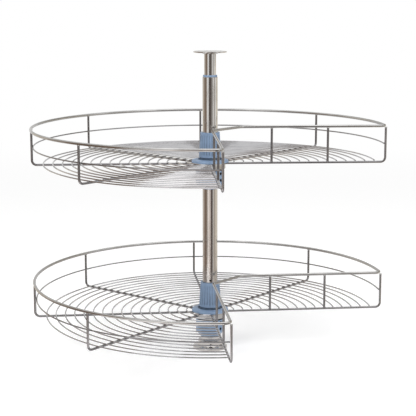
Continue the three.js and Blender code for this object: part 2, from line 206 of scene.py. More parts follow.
class StageSettings(bpy.types.PropertyGroup):
    """Place of the camera, and level of the studio's light."""

    camera: FloatVectorProperty(
        name="Camera place",
        description="Where the camera stands",
        default=(-161.1 * MM, -2570.0 * MM, 770.5 * MM),
        size=3,
        subtype="TRANSLATION",
        unit="LENGTH",
    )
    heading: angle_setting("Heading", "Angle from +Y towards +X in which the camera looks", 0.0609)
    tilt: angle_setting("Tilt", "How far down the camera looks", 0.1779)
    lens: FloatProperty(
        name="Lens", description="Focal length in millimetres on a 36 mm sensor", default=106.08
    )
    sky_light: FloatProperty(
        name="Sky light", description="Strength of the even light all round", default=0.62
    )
    floor_glow: FloatProperty(
        name="Floor glow",
        description="What the floor adds to the light that it gets, so that it looks white",
        default=0.36,
    )
    key_power: FloatProperty(
        name="Key light", description="Power of the large soft lamp on the left", default=36, unit="POWER"
    )
    fill_power: FloatProperty(
        name="Fill light", description="Power of the large soft lamp on the right", default=21, unit="POWER"
    )


class CarouselSettings(bpy.types.PropertyGroup):
    """All settings of the fitting."""

    basket: PointerProperty(type=BasketSizes)
    pole: PointerProperty(type=PoleSizes)
    finish: PointerProperty(type=Finishes)
    stage: PointerProperty(type=StageSettings)


def settings():
    return bpy.context.scene.carousel


# ---------------------------------------------------------------- node trees
class Signal:
    """An output socket in a node tree, with which Python expressions add Math nodes."""

    def __init__(self, tree, socket):
        self.tree = tree
        self.socket = socket

    def _maths(self, operation, first, second):
        return self.tree.node("ShaderNodeMath", {"operation": operation}, {0: first, 1: second})

    def __add__(self, other):
        return self._maths("ADD", self, other)

    def __sub__(self, other):
        return self._maths("SUBTRACT", self, other)

    def __mul__(self, other):
        return self._maths("MULTIPLY", self, other)

    def __rsub__(self, other):
        return self._maths("SUBTRACT", other, self)

    __radd__ = __add__
    __rmul__ = __mul__

    def most(self, other):
        return self._maths("MAXIMUM", self, other)

    def least(self, other):
        return self._maths("MINIMUM", self, other)


class Nodes:
    """A node tree that is filled from Python; every node in it comes from node()."""

    MIX_COLOUR = {"factor": 0, "first": 6, "second": 7, "output": 2}

    def __init__(self, owner):
        owner.use_nodes = True
        self.owner = owner
        self.tree = owner.node_tree
        self.tree.nodes.clear()

    def node(self, kind, choices=None, sockets=None, output=0):
        """Adds a node, sets its choices, then its sockets, and gives one of its outputs."""
        made = self.tree.nodes.new(kind)
        for name, value in (choices or {}).items():
            setattr(made, name, value)
        for name, value in (sockets or {}).items():
            if isinstance(value, Signal):
                self.tree.links.new(value.socket, made.inputs[name])
            else:
                made.inputs[name].default_value = value
        return Signal(self, made.outputs[output]) if made.outputs else made

    def mix(self, factor, first, second):
        """A colour between two colours."""
        slot = self.MIX_COLOUR
        return self.node(
            "ShaderNodeMix",
            {"data_type": "RGBA"},
            {slot["factor"]: factor, slot["first"]: first, slot["second"]: second},
            slot["output"],
        )

    def place(self):
        """Where a point lies on the piece, in metres."""
        return self.node("ShaderNodeTexCoord", output="Object")

    def stretched(self, place, scale):
        """The same place with each axis scaled, for grain that runs one way."""
        return self.node("ShaderNodeVectorMath", {"operation": "MULTIPLY"}, {0: place, 1: scale})

    def noise(self, place, scale, detail):
        return self.node("ShaderNodeTexNoise", None, {"Vector": place, "Scale": scale, "Detail": detail})

    def between(self, value, low, high):
        """0 below low and 1 above high, with a smooth step in between."""
        return self.node(
            "ShaderNodeMapRange",
            {"interpolation_type": "SMOOTHSTEP"},
            {"Value": value, "From Min": low, "From Max": high},
        )

    def grime(self):
        """How much painted shade darkens a face in a hole, a groove, a flute or a gap between parts, from 0
        to 1.
        """
        return self.node("ShaderNodeAttribute", {"attribute_name": "grime"}, output="Fac")

    def bump(self, height, distance, strength):
        sockets = {"Height": height, "Distance": distance, "Strength": strength}
        return self.node("ShaderNodeBump", None, sockets)

    def glow(self, colour, strength=1.0):
        return self.node("ShaderNodeEmission", None, {"Color": opaque(colour), "Strength": strength})

    def output(self, shader, kind="Material"):
        """Links the last shader, and gives the material or world that it finishes."""
        self.node(f"ShaderNodeOutput{kind}", None, {"Surface": shader})
        return self.owner

    def surface(self, sockets):
        return self.output(self.node("ShaderNodeBsdfPrincipled", None, sockets))


def opaque(colour, share=1.0):
    """A colour for a socket, at a share of its brightness."""
    return (*(share * c for c in colour), 1.0)


def new_material(name):
    return Nodes(bpy.data.materials.new(name))


def plating(name, bright, dull, roughness, grain):
    """Bright chrome over drawn steel: patches of haze, faint grain and a few fine specks, with painted shade,
    near black and dull, on the faces that are marked in holes.
    """
    n = new_material(name)
    place = n.place()
    haze = n.between(n.noise(place, 22, 4), 0.42, 0.68)
    grain_lines = n.noise(n.stretched(place, grain), 1, 2)
    specks = n.between(n.noise(place, 1100, 1), 0.72, 0.80)
    waves = n.noise(place, 120, 2)
    grime = n.grime()
    height = waves * 0.35 + grain_lines * 0.15 - specks * 0.5
    unshaded = n.mix(haze * 0.6 + specks * 0.4, opaque(bright), opaque(dull))
    return n.surface(
        {
            # Painted shade: marked faces turn near black, less metallic and rougher, as holes in shadow.
            "Base Color": n.mix(grime, unshaded, (0.012, 0.011, 0.010, 1)),
            "Metallic": 1 - grime * 0.9,
            "Roughness": roughness + haze * 0.10 + grain_lines * 0.05 + specks * 0.25 + grime * 0.5,
            "Normal": n.bump(height, 0.05 * MM, 0.5),
        }
    )


def tube_chrome():
    finish = settings().finish
    grain = (900, 900, 25)
    return plating("tube_chrome", finish.chrome, finish.dull_chrome, finish.chrome_roughness, grain)


def wire_chrome(part):
    """Plating on one part's wire, a little rougher than on the tubes and hazy in the same way; its colour is
    the part's own darkened tone, which paints the darker reflections and shade that part shows.
    """
    finish = settings().finish
    bright = getattr(finish, part)
    hazy = tuple(0.8 * c for c in bright)
    return plating(f"{part}_chrome", bright, hazy, finish.chrome_roughness + 0.03, (300, 300, 300))


def moulded_plastic():
    """Satin moulded plastic, a little mottled, rubbed pale on its edges and darker in its hollows, with
    painted shade on the faces that are marked in grooves, flutes and gaps.
    """
    finish = settings().finish
    n = new_material("blue_moulding")
    place = n.place()
    edge = n.node("ShaderNodeNewGeometry", output="Pointiness")
    rubbed = n.between(edge, 0.52, 0.62)
    sunk = 1 - n.between(edge, 0.40, 0.49)
    mottle = n.between(n.noise(place, 60, 4), 0.35, 0.70)
    scuffs = n.between(n.noise(n.stretched(place, (160, 160, 900)), 1, 3), 0.62, 0.78)
    pale = n.mix(mottle, opaque(finish.plastic), opaque(finish.plastic, 1.16))
    worn = n.mix(rubbed * 0.75 + scuffs * 0.20, pale, opaque(finish.rubbed_plastic))
    # Darker where the surface is hollow.
    darker_in_hollows = n.mix(sunk * 0.35, worn, opaque(finish.plastic, 0.55))
    # Painted shade, a little uneven, on the faces marked in the hub's neck and flutes and at the collar's top
    # edge.
    grime = n.grime() * (0.55 + n.noise(place, 230, 2) * 0.9)
    with_painted_shade = n.mix(grime.least(1.0), darker_in_hollows, opaque(finish.plastic, 0.10))
    skin = n.noise(place, 2600, 2)
    roughness = finish.plastic_roughness + mottle * 0.06 + scuffs * 0.15 - rubbed * 0.06 + grime * 0.3
    return n.surface(
        {
            "Base Color": with_painted_shade,
            "Roughness": roughness,
            "Specular IOR Level": 0.5,
            "Normal": n.bump(skin + mottle * 0.4, 0.04 * MM, 0.35),
        }
    )


def black_steel():
    finish = settings().finish
    n = new_material("blackened_screw")
    place = n.place()
    worn = n.between(n.node("ShaderNodeNewGeometry", output="Pointiness"), 0.54, 0.66)
    patches = n.noise(place, 900, 3)
    bare_metal = (0.30, 0.29, 0.28, 1.0)
    return n.surface(
        {
            "Base Color": n.mix(worn * 0.5, opaque(finish.screw), bare_metal),
            "Metallic": 0.85,
            "Roughness": 0.30 + patches * 0.22,
            "Normal": n.bump(patches, 0.03 * MM, 0.4),
        }
    )


def pale_plastic():
    finish = settings().finish
    n = new_material("pale_moulding")
    place = n.place()
    mottle = n.noise(place, 90, 3)
    grime = n.grime()
    unshaded = n.mix(mottle, opaque(finish.pale), opaque(finish.pale, 0.88))
    return n.surface(
        {
            # Painted shade: the marked edge of a washer turns near black, standing in for the shaded gap
            # between collar and hub ring.
            "Base Color": n.mix(grime * 0.97, unshaded, (0.010, 0.010, 0.011, 1)),
            "Roughness": 0.42 + mottle * 0.12 - grime * 0.1,
            "Normal": n.bump(n.noise(place, 1800, 2), 0.03 * MM, 0.3),
        }
    )


# What a piece's name starts with, its slot in the record, its material's name and who makes that.
FINISHES = {
    "tube": ("bright", "chrome", "tube_chrome", tube_chrome),
    "blue": ("blue", "blue_plastic", "blue_moulding", moulded_plastic),
    "black": ("black", "black_steel", "blackened_screw", black_steel),
    "pale": ("pale", "pale_plastic", "pale_moulding", pale_plastic),
}
FINISHES |= {
    part: ("bright", "chrome", f"{part}_chrome", partial(wire_chrome, part))
    for part in ("rim", "floor", "arm", "post")
}


# ---------------------------------------------------------------- shapes
class Shape:
    """Points and faces of a piece while it is made."""

    def __init__(self):
        self.points = []
        self.faces = []

    def skin(self, rings, loop=False):
        """Skins rings of equally many points and closes the two ends, unless they form a loop."""
        first = len(self.points)
        around = len(rings[0])
        for ring in rings:
            self.points.extend(ring)
        for i in range(len(rings) if loop else len(rings) - 1):
            here = first + i * around
            after = first + (i + 1) % len(rings) * around
            for j in range(around):
                k = (j + 1) % around
                self.faces.append((here + j, here + k, after + k, after + j))
        if not loop:
            last = first + (len(rings) - 1) * around
            self.faces.append(tuple(first + j for j in reversed(range(around))))
            self.faces.append(tuple(last + j for j in range(around)))
        return self

    def wire(self, line, radius, normal, sides=WIRE_SIDES, loop=False):
        """A round wire along a flat line, whose plane has that normal; its ends are cut round."""
        count = len(line)
        rings = []
        for i, middle in enumerate(line):
            before = line[i - 1] if loop or i else middle
            after = line[(i + 1) % count] if loop or i < count - 1 else middle
            along = (after - before).normalized()
            across = along.cross(normal)
            rings.append(round_ring(middle, across, normal, radius, sides))
        if not loop:
            rings = rounded_ends(rings, line, radius)
        return self.skin(rings, loop)

    def turned(self, profile, sides=TURNED_SIDES, loop=True, radius_at=None):
        """A body turned about the axis from (radius, height) points."""
        rings = []
        for radius, height in profile:
            ring = []
            for j in range(sides):
                angle = 2 * math.pi * j / sides
                r = radius_at(radius, height, angle) if radius_at else radius
                ring.append(Vector((r * math.cos(angle), r * math.sin(angle), height)))
            rings.append(ring)
        return self.skin(rings, loop)

    def bead(self, centre, radii, turn=0.0):
        """A weld bead: a flattened ball."""
        rings = []
        spin = Matrix.Rotation(turn, 3, "Z")
        for i in range(1, BEAD_RINGS):
            polar = math.pi * i / BEAD_RINGS
            ring = []
            for j in range(BEAD_SIDES):
                angle = 2 * math.pi * j / BEAD_SIDES
                out = outwards(angle) * math.sin(polar) - UP * math.cos(polar)
                ring.append(centre + spin @ (out * Vector(radii)))
            rings.append(ring)
        return self.skin(rings)

    def moved(self, matrix):
        self.points = [matrix @ point for point in self.points]
        return self

    def mesh(self):
        """The shape as a mesh with its faces outwards and its edges crisp only where they are sharp."""
        mesh = bpy.data.meshes.new("shape")
        mesh.from_pydata(self.points, [], self.faces)
        return dressed(mesh)


def dressed(mesh):
    work = bmesh.new()
    work.from_mesh(mesh)
    bmesh.ops.remove_doubles(work, verts=work.verts, dist=MERGE)
    bmesh.ops.recalc_face_normals(work, faces=work.faces)
    for face in work.faces:
        face.smooth = True
    for edge in work.edges:
        edge.smooth = len(edge.link_faces) != 2 or edge.calc_face_angle() < SHARP
    work.to_mesh(mesh)
    work.free()
    return mesh


def round_ring(middle, across, normal, radius, sides):
    ring = []
    for j in range(sides):
        angle = 2 * math.pi * j / sides
        ring.append(middle + radius * (math.cos(angle) * across + math.sin(angle) * normal))
    return ring


def rounded_ends(rings, line, radius):
    """Rings with two smaller ones at each end, which break the edge of a cut wire."""
    steps = ((0.30, 0.0), (0.12, 0.12), (0.0, 0.34))  # back from the end, drawn in, both in radii

    def ending(ring, end, inwards):
        made = []
        for back, drawn in steps:
            middle = end + inwards * back * radius
            made.append([middle + (point - end) * (1 - drawn) for point in ring])
        return made

    start = ending(rings[0], line[0], (line[1] - line[0]).normalized())
    finish = ending(rings[-1], line[-1], (line[-2] - line[-1]).normalized())
    return start[::-1] + rings[1:-1] + finish


def rounded(corners):
    """A closed profile from (radius, height, rounding) corners, in millimetres."""
    points = []
    for i, (radius, height, rounding) in enumerate(corners):
        here = Vector((radius, height))
        before = Vector(corners[i - 1][:2]) - here
        after = Vector(corners[(i + 1) % len(corners)][:2]) - here
        reach = rounding / math.tan(before.angle(after) / 2) if rounding else 0
        reach = min(reach, ROUNDING_SHARE * before.length, ROUNDING_SHARE * after.length)
        if not reach:
            points.append(here * MM)
            continue
        start = here + before.normalized() * reach
        end = here + after.normalized() * reach
        for step in range(ROUNDING_STEPS + 1):
            t = step / ROUNDING_STEPS
            points.append((start * (1 - t) ** 2 + here * 2 * t * (1 - t) + end * t**2) * MM)
    return [tuple(point) for point in points]


def spread(limits, steps):
    """Values from one limit to the other, in equal steps."""
    return [limits[0] + (limits[1] - limits[0]) * i / steps for i in range(steps + 1)]


def round_stretch(centre, radius, first, last, steps):
    """Points of a round stretch in a level plane."""
    return [centre + radius * outwards(angle) for angle in spread((first, last), steps)]


def bend(before, corner, after, radius):
    """Points of the bend that rounds the corner between two straight legs."""
    leg_in = (before - corner).normalized()
    leg_out = (after - corner).normalized()
    half = leg_in.angle(leg_out) / 2
    centre = corner + (leg_in + leg_out).normalized() * radius / math.sin(half)
    start = corner + leg_in * radius / math.tan(half) - centre
    axis = start.cross(-leg_in).normalized()
    turn = (math.pi - 2 * half) / BEND_STEPS
    return [centre + Matrix.Rotation(turn * i, 3, axis) @ start for i in range(BEND_STEPS + 1)]


def cut(mesh, tools):
    """The mesh with each tool's shape taken out of it."""
    body = bpy.data.objects.new("cut_body", mesh)
    bpy.context.scene.collection.objects.link(body)
    helpers = []
    for tool in tools:
        helper = bpy.data.objects.new("cut_tool", tool.mesh())
        bpy.context.scene.collection.objects.link(helper)
        helpers.append(helper)
        step = body.modifiers.new("cut", "BOOLEAN")
        step.operation = "DIFFERENCE"
        step.solver = "EXACT"
        step.object = helper
    bpy.context.view_layer.update()
    graph = bpy.context.evaluated_depsgraph_get()
    made = bpy.data.meshes.new_from_object(body.evaluated_get(graph))
    for helper in [body, *helpers]:
        bpy.data.objects.remove(helper)
    return dressed(made)


def cutter(outline, sides=HOLE_SIDES):
    """A shape to cut with, turned from (radius, height) points in millimetres."""
    return Shape().turned([(radius * MM, height * MM) for radius, height in outline], sides, loop=False)


def mark_painted_shade(mesh, share_at):
    """Stores on each face how much painted shade it holds, which share_at gives for the face's centre."""
    layer = mesh.attributes.new("grime", "FLOAT", "FACE")
    for face in mesh.polygons:
        layer.data[face.index].value = share_at(face.center)


def add_piece(name, mesh, finish, node):
    """Links a finished piece on the body that carries its node."""
    _, slot, material_name, make = FINISHES[finish]
    mesh.name = name
    mesh.materials.clear()
    mesh.materials.append(bpy.data.materials.get(material_name) or make())
    piece = bpy.data.objects.new(name, mesh)
    bpy.context.scene.collection.objects.link(piece)
    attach(piece, BODY_OF[node])
    return piece


def dress(node, mesh, finish):
    """Adds the piece that stands in place of a node."""
    look = FINISHES[finish][0]
    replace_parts(add_piece(f"{look}_{node}", mesh, finish, node), node)


# ---------------------------------------------------------------- places on a basket
def edge_level(level):
    """Height of the middle of a basket's edge wires."""
    return heights(f"{level}_hub_ring")[1] * MM - settings().basket.arm_wire / 2 - RING_STAND


def basket_turn(level):
    return Matrix.Rotation(settings().basket.lower_turn if level == "lower" else 0.0, 4, "Z")


def basket_mesh(level, shape):
    """A shape made about the axis, turned and lifted to its basket."""
    return shape.moved(Matrix.Translation(UP * edge_level(level)) @ basket_turn(level)).mesh()


def dress_basket(level, part, shape, finish):
    """Adds the piece that stands in place of a part of a basket."""
    dress(f"{level}_{part}", basket_mesh(level, shape), finish)


def arm_angles():
    basket = settings().basket
    return [basket.sweep * i / (basket.arms - 1) for i in range(basket.arms)]


def floor_radii():
    basket = settings().basket
    gap = (basket.outer_wire_radius - basket.inner_wire_radius) / (basket.floor_wires - 1)
    return [basket.inner_wire_radius + gap * i for i in range(basket.floor_wires)]


def floor_level():
    """Middle of the floor wires above the middle of the edge wires."""
    basket = settings().basket
    return basket.arm_wire / 2 + basket.floor_wire / 2 - WIRE_SINK


def outwards(angle):
    return Vector((math.cos(angle), math.sin(angle), 0))


def arm_line(angle, level):
    """A floor arm's middle line: out from the hub ring and up to the rim."""
    basket = settings().basket
    out = outwards(angle)
    start = out * (basket.ring_radius - SINK) + UP * level
    corner = out * basket.radius + UP * level
    top = out * basket.radius + UP * (basket.rim_height - basket.rim_wire / 2 + SINK)
    return [start, *bend(start, corner, top, basket.arm_bend), top]


def rim_line():
    """The rim's closed middle line, with its round, its outer corners and its cut corner."""
    basket = settings().basket
    inset = basket.rim_corner
    reach = math.sqrt((basket.radius - inset) ** 2 - inset**2)
    meet = math.asin(inset / (basket.radius - inset))
    quarter = math.pi / 2
    level = UP * basket.rim_height
    along_x = Vector((basket.cut_corner, 0, 0)) + level
    along_y = Vector((0, -basket.cut_corner, 0)) + level
    end_x = Vector((reach, 0, 0)) + level
    end_y = Vector((0, -reach, 0)) + level
    corner_y = Vector((-inset, -reach, 0)) + level
    corner_x = Vector((reach, inset, 0)) + level
    return [
        *round_stretch(level, basket.radius, meet, basket.sweep - meet, ROUND_STEPS),
        *round_stretch(corner_y, inset, 3 * quarter - meet, 4 * quarter, BEND_STEPS)[1:],
        *bend(end_y, along_y, along_x, basket.cut_bend),
        *bend(along_y, along_x, end_x, basket.cut_bend),
        *round_stretch(corner_x, inset, -quarter, meet, BEND_STEPS)[:-1],
    ]


# ---------------------------------------------------------------- operators: pole
class CarouselOperator(bpy.types.Operator):
    bl_options = {"REGISTER", "UNDO"}


SCREW_HOLE, SCREW_HEAD = 2.4, 4.2  # radii of a fastening hole and of its countersink, in millimetres


def screw_azimuths():
    """Where three fastening holes lie round the pole, from the front on."""
    return [math.radians(-90 + 120 * i) for i in range(3)]


def countersunk(circle, through, head_level, head_side, out_to):
    """The fastening holes on a circle, as shapes to cut with; sizes in millimetres."""
    depth = (SCREW_HEAD - SCREW_HOLE) * -head_side
    profile = [
        (SCREW_HOLE, through),
        (SCREW_HOLE, head_level + depth),
        (SCREW_HEAD, head_level),
        (SCREW_HEAD, out_to),
    ]
    tools = []
    for azimuth in screw_azimuths():
        tools.append(cutter(profile).moved(Matrix.Translation(outwards(azimuth) * circle * MM)))
    return tools


def front_drill(radius, height):
    """A drill that comes in from the front at a height, both in millimetres."""
    turned = Matrix.Rotation(math.pi / 2, 4, "X")
    return cutter([(radius, 0), (radius, 30)]).moved(Matrix.Translation(UP * height * MM) @ turned)


class AddFoot(CarouselOperator):
    """Adds the pole's foot, a chromed pressing with a rim, a dome and three screw holes"""

    bl_idname = "carousel.add_foot"
    bl_label = "Foot"

    # All in millimetres.
    BORE = 2
    SCREW_CIRCLE = 31.5
    RIM_TOP = 4.6
    SCREW_FACE = 6.4  # height at which the screws' heads lie
    DOME_RADIUS, DOME_TOP = 26, 19
    NECK_RADIUS, NECK_TOP = 18.5, 26
    SOCKET_FLOOR = 4
    DRILL_RADIUS, DRILL_HEIGHT = 2, 12  # of the small hole in the dome's front

    def execute(self, context):
        radius = settings().pole.foot_radius / MM
        socket = settings().pole.outer_radius / MM + FIT
        profile = rounded(
            [
                (self.BORE, 0, 0),
                (radius, 0, 0.8),
                (radius, self.RIM_TOP, 1.2),
                (self.DOME_RADIUS + 1.5, 8, 1.5),
                (self.DOME_RADIUS, 10, 1.5),
                (self.DOME_RADIUS, self.DOME_TOP, 3.0),
                (self.NECK_RADIUS + 2, self.DOME_TOP + 0.2, 1.5),
                (self.NECK_RADIUS, self.DOME_TOP + 1.6, 1.2),
                (self.NECK_RADIUS, self.NECK_TOP, 0.7),
                (socket, self.NECK_TOP, 0.5),
                (socket, self.SOCKET_FLOOR, 0.3),
                (self.BORE, self.SOCKET_FLOOR, 0),
            ]
        )
        drill = front_drill(self.DRILL_RADIUS, self.DRILL_HEIGHT)
        holes = countersunk(
            self.SCREW_CIRCLE, through=-1, head_level=self.SCREW_FACE, head_side=1, out_to=30
        )
        mesh = cut(Shape().turned(profile).mesh(), [*holes, drill])
        screws = [outwards(azimuth) * self.SCREW_CIRCLE * MM for azimuth in screw_azimuths()]

        # Painted shade: the faces in the screw holes and in the small drill in the dome's front are marked
        # near black, as holes in shadow.
        def in_hole(point):
            level = Vector((point.x, point.y, 0))
            if min((level - screw).length for screw in screws) < (SCREW_HEAD + 0.1) * MM:
                return 1.0
            drilled = Vector((point.x, 0, point.z - self.DRILL_HEIGHT * MM)).length < self.DRILL_RADIUS * MM
            wall = -(self.DOME_RADIUS - 0.1) * MM < point.y < -(socket - 0.1) * MM
            return 1.0 if drilled and wall else 0.0

        mark_painted_shade(mesh, in_hole)
        dress("foot", mesh, "tube")
        return {"FINISHED"}


class AddTubes(CarouselOperator):
    """Adds the outer tube with its setting hole, and the inner tube that slides in it"""

    bl_idname = "carousel.add_tubes"
    bl_label = "Tubes"

    def tube(self, node, radius):
        outer, inner = radius / MM, (radius - settings().pole.wall) / MM
        low, high = heights(node)
        profile = [(inner, low, 0.4), (outer, low, 0.5), (outer, high, 0.6), (inner, high, 0.4)]
        return Shape().turned(rounded(profile)).mesh()

    def execute(self, context):
        pole = settings().pole
        drill = front_drill(pole.setting_hole / MM, pole.setting_height / MM)
        outer = cut(self.tube("outer_tube", pole.outer_radius), [drill])

        # Painted shade: the faces in the setting hole are marked near black, as a hole in shadow.
        def in_hole(point):
            across = math.hypot(point.x, point.z - pole.setting_height)
            return 1.0 if point.y < 0 and across < pole.setting_hole else 0.0

        mark_painted_shade(outer, in_hole)
        dress("outer_tube", outer, "tube")
        dress("inner_tube", self.tube("inner_tube", pole.inner_radius), "tube")
        return {"FINISHED"}


class AddGuides(CarouselOperator):
    """Adds the plastic guide ring and the plug that steady the inner tube in the outer one"""

    bl_idname = "carousel.add_guides"
    bl_label = "Guide ring and plug"

    RING_RADIUS, RING_HEIGHT = 15, 4  # of the guide ring above the tube's mouth, in millimetres
    PLUG_HEAD = 14  # height of the plug's wide part, in millimetres

    def execute(self, context):
        pole = settings().pole
        bore = pole.inner_radius / MM + FIT
        spigot = (pole.outer_radius - pole.wall) / MM - FIT
        low, high = heights("guide_ring")
        seat = high - self.RING_HEIGHT
        ring = [
            (bore, low, 0.3),
            (spigot, low, 0.3),
            (spigot, seat, 0),
            (self.RING_RADIUS, seat, 0.4),
            (self.RING_RADIUS, high, 1.2),
            (bore, high, 0.5),
        ]
        dress("guide_ring", Shape().turned(rounded(ring)).mesh(), "blue")
        low, high = heights("inner_tube_plug")
        inner = (pole.inner_radius - pole.wall) / MM - FIT
        plug = [
            (AXIS, low, 0),
            (spigot, low, 1.0),
            (spigot, low + self.PLUG_HEAD, 0.4),
            (inner, low + self.PLUG_HEAD, 0),
            (inner, high, 1.0),
            (AXIS, high, 0),
        ]
        dress("inner_tube_plug", Shape().turned(rounded(plug), loop=False).mesh(), "pale")
        return {"FINISHED"}


class AddTopPlate(CarouselOperator):
    """Adds the plate at the top of the pole, with its conical boss and three screw holes"""

    bl_idname = "carousel.add_top_plate"
    bl_label = "Top plate"

    # All in millimetres.
    THICKNESS = 2.5
    BORE = 1
    SCREW_CIRCLE = 27
    BOSS_TOP_RADIUS, BOSS_RADIUS, BOSS_DEPTH = 20.6, 15, 3

    def execute(self, context):
        pole = settings().pole
        radius, bore = pole.plate_radius / MM, pole.inner_radius / MM + FIT
        top = heights("top_plate")[1]
        under = top - self.THICKNESS
        profile = [
            (self.BORE, under, 0),
            (bore, under, 0),
            (bore, under - self.BOSS_DEPTH, 0.3),
            (self.BOSS_RADIUS, under - self.BOSS_DEPTH, 0.9),
            (self.BOSS_TOP_RADIUS, under, 1.5),
            (radius, under, 0.9),
            (radius, top, 0.4),
            (self.BORE, top, 0),
        ]
        holes = countersunk(
            self.SCREW_CIRCLE, through=top + 1, head_level=under, head_side=-1, out_to=under - 4
        )
        dress("top_plate", cut(Shape().turned(rounded(profile)).mesh(), holes), "tube")
        return {"FINISHED"}


# ---------------------------------------------------------------- operators: collars
SCREW_DEPTHS = (7, 21)  # millimetres below a collar's top
SCREW_AZIMUTH = math.radians(-45)


def across_pole(height):
    """Turns a shape made about +Z so that it points outwards at the screws' side."""
    return (
        Matrix.Translation((0, 0, height))
        @ Matrix.Rotation(SCREW_AZIMUTH, 4, "Z")
        @ Matrix.Rotation(math.pi / 2, 4, "Y")
    )


class AddCollars(CarouselOperator):
    """Adds the two blue height collars, each with its pair of grub screws"""

    bl_idname = "carousel.add_collars"
    bl_label = "Height collars"

    # All in millimetres.
    SHADED_TOP = 1.25  # of a collar's top edge that is painted dark, as the shade under the hub ring
    CONE_FOOT, CONE_HEIGHT = 21, 10.5
    THREAD, MOUTH = 3.3, 3.9  # radii of a screw's bore inside and where it comes out
    SCREW, KEY = 3, 1.6  # radii of a screw and of the socket in it
    SCREW_DEPTH = 1  # of a screw's end below the collar's surface
    KEY_DEPTH = 3  # of that socket, from the screw's end

    def collar(self, level):
        pole = settings().pole
        node = f"{level}_collar"
        bore, radius = pole.outer_radius / MM + FIT, pole.collar_radius / MM
        low, high = heights(node)
        cone = low + self.CONE_HEIGHT
        profile = [
            (bore, low, 0.4),
            (self.CONE_FOOT, low, 0.8),
            (radius - 1.2, cone, 1.5),
            (radius, cone + 1.5, 1.0),
            (radius, high, 1.3),
            (bore, high, 0.5),
        ]
        bored = [(self.THREAD, 10), (self.THREAD, radius - 0.5), (self.MOUTH, radius + 2)]
        drills = []
        for depth in SCREW_DEPTHS:
            drills.append(cutter(bored).moved(across_pole((high - depth) * MM)))
        mesh = cut(Shape().turned(rounded(profile)).mesh(), drills)
        # Painted shade on the collar's top edge, for the dark gap under the hub ring.
        mark_painted_shade(mesh, lambda point: 1.0 if point.z > (high - self.SHADED_TOP) * MM else 0.0)
        dress(node, mesh, "blue")

    def screw(self, level, index, depth):
        pole = settings().pole
        tip = pole.outer_radius / MM + FIT
        head = pole.collar_radius / MM - self.SCREW_DEPTH
        outline = [(AXIS, tip, 0), (self.SCREW, tip, 1.0), (self.SCREW, head, 0.4), (AXIS, head, 0)]
        body = Shape().turned(rounded(outline), SCREW_SIDES, loop=False)
        mesh = cut(body.mesh(), [cutter([(self.KEY, head - self.KEY_DEPTH), (self.KEY, head + 2)], 6)])
        mesh.transform(across_pole((heights(f"{level}_collar")[1] - depth) * MM))
        dress(f"{level}_collar_screw_{index}", mesh, "black")

    def execute(self, context):
        for level in LEVELS:
            self.collar(level)
            for i, depth in enumerate(SCREW_DEPTHS):
                self.screw(level, i + 1, depth)
        return {"FINISHED"}


class AddWashers(CarouselOperator):
    """Adds the low-friction washers between the collars and the baskets"""

    bl_idname = "carousel.add_washers"
    bl_label = "Thrust washers"

    RADIUS = 28  # millimetres
    SHADED_EDGE = 1  # millimetres of a washer's edge that are painted dark, as the shade between collar and ring

    def execute(self, context):
        bore = settings().pole.outer_radius / MM + RUN
        unshaded = (self.RADIUS - self.SHADED_EDGE) * MM
        for level in LEVELS:
            node = f"{level}_thrust_washer"
            low, high = heights(node)
            profile = [(bore, low, 0.2), (self.RADIUS, low, 0.3), (self.RADIUS, high, 0.3), (bore, high, 0.2)]
            mesh = Shape().turned(rounded(profile)).mesh()
            # Painted shade on the washer's outer edge.
            mark_painted_shade(mesh, lambda point: 1.0 if math.hypot(point.x, point.y) > unshaded else 0.0)
            dress(node, mesh, "pale")
        return {"FINISHED"}


